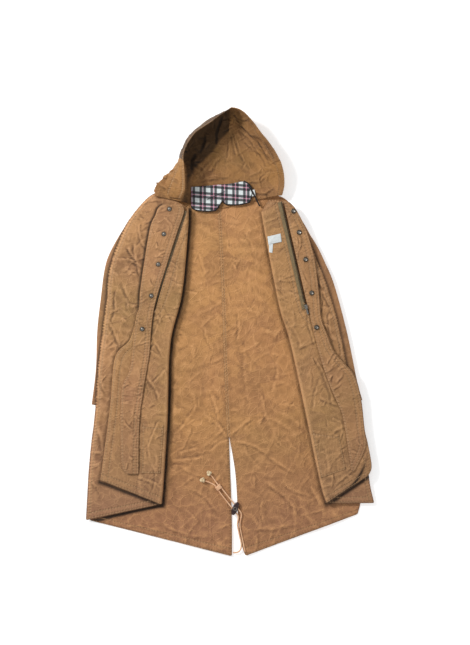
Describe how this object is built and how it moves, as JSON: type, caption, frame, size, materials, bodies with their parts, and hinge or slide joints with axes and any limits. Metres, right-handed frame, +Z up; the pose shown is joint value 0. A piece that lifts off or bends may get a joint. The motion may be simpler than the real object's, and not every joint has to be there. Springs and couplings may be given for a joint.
{
  "type": "hooded parka",
  "caption": "Long hooded waxed-cotton parka lying on its back, both fronts turned open over the sleeves, with a zip, snap flies and a hem drawcord.",
  "frame": {"origin": "middle of the coat's length and width, on the surface that it lies on", "axes": "+X to the wearer's left, +Y from the hem to the hood, +Z up from the surface"},
  "size_m": [0.835, 1.2899, 0.0839],
  "materials": {
    "shell": "waxed cotton, creased",
    "lining": "waxed cotton, inner face",
    "checked": "woven check in white, black and red",
    "piping": "bias binding",
    "tape": "zip tape",
    "teeth": "plain metal",
    "snaps": "worn plating",
    "labels": "blank woven label",
    "cord": "braided",
    "cord_end": "braided, worn pale",
    "toggle": "smooth"
  },
  "bodies": {
    "back": {"right_back_panel": "lining", "left_back_panel": "lining", "centre_back_seam": "lining", "right_hem_tunnel": "shell", "left_hem_tunnel": "shell", "right_side_front": "shell", "left_side_front": "shell", "right_side_seam": "shell", "left_side_seam": "shell", "right_shoulder_seam": "shell", "left_shoulder_seam": "shell", "drawcord_right": "cord", "drawcord_left": "cord", "drawcord_right_tip": "cord", "drawcord_left_tip": "cord", "drawcord_right_knot": "cord_end", "drawcord_left_knot": "cord_end", "cord_wrap_knot": "cord"},
    "right_front": {"right_front_panel": "lining", "right_zip_tape": "tape", "right_zip_teeth": "teeth", "right_fly": "shell", "right_inner_pocket": "lining", "snap_stud_1": "snaps", "snap_stud_2": "snaps", "snap_stud_3": "snaps", "snap_stud_4": "snaps", "snap_stud_5": "snaps"},
    "left_front": {"left_front_panel": "lining", "left_zip_tape": "tape", "left_zip_teeth": "teeth", "zip_box": "teeth", "left_inner_pocket": "lining", "main_label": "labels", "care_label": "labels"},
    "storm_flap": {"left_fly": "shell", "snap_socket_1": "snaps", "snap_socket_2": "snaps", "snap_socket_3": "snaps", "snap_socket_4": "snaps", "snap_socket_5": "snaps"},
    "zip_slider": {"zip_slider": "teeth"},
    "zip_pull": {"zip_pull": "teeth"},
    "hood": {"hood_right_half": "shell", "hood_right_rim": "shell", "hood_left_half": "shell", "hood_left_rim": "shell", "neck_band": "checked", "neck_piping": "piping", "size_tab": "labels"},
    "right_sleeve": {"right_sleeve_under": "shell", "right_sleeve_upper": "shell", "right_sleeve_outer_fold": "shell", "right_sleeve_inner_fold": "shell"},
    "left_sleeve": {"left_sleeve_under": "shell", "left_sleeve_upper": "shell", "left_sleeve_outer_fold": "shell", "left_sleeve_inner_fold": "shell"},
    "cord_lock": {"cord_lock": "toggle"}
  },
  "joints": [
    {"name": "right_front_turn", "type": "hinge", "parent": "back", "child": "right_front", "pos_m": [-0.114, 0.352, 0.02075], "axis": [0.0978, 0.9952, 0], "range_deg": [0, 160]},
    {"name": "left_front_turn", "type": "hinge", "parent": "back", "child": "left_front", "pos_m": [0.084, 0.332, 0.02075], "axis": [0.2202, -0.9755, 0], "range_deg": [0, 140]},
    {"name": "storm_flap_lift", "type": "hinge", "parent": "left_front", "child": "storm_flap", "pos_m": [0.22497, 0.07214, 0.0298], "axis": [0.2239, -0.9746, 0], "range_deg": [0, 75]},
    {"name": "zip_slide", "type": "slide", "parent": "left_front", "child": "zip_slider", "axis": [-0.2239, 0.9746, 0], "range_m": [0, 0.295]},
    {"name": "zip_pull_swing", "type": "hinge", "parent": "zip_slider", "child": "zip_pull", "pos_m": [0.21854, 0.07734, 0.0319], "axis": [-0.9746, -0.2239, 0], "range_deg": [0, 150]},
    {"name": "hood_lift", "type": "hinge", "parent": "back", "child": "hood", "pos_m": [0, 0.35, 0.0042], "axis": [1, 0, 0], "range_deg": [0, 30]},
    {"name": "right_sleeve_swing", "type": "hinge", "parent": "back", "child": "right_sleeve", "pos_m": [-0.25, 0.29, 0.0103], "axis": [0, 0, -1], "range_deg": [-6, 60]},
    {"name": "left_sleeve_swing", "type": "hinge", "parent": "back", "child": "left_sleeve", "pos_m": [0.19, 0.285, 0.0103], "axis": [0, 0, 1], "range_deg": [-6, 60]},
    {"name": "cord_lock_slide", "type": "slide", "parent": "back", "child": "cord_lock", "axis": [-0.6198, 0.7848, 0], "range_m": [0, 0.05]}
  ]
}
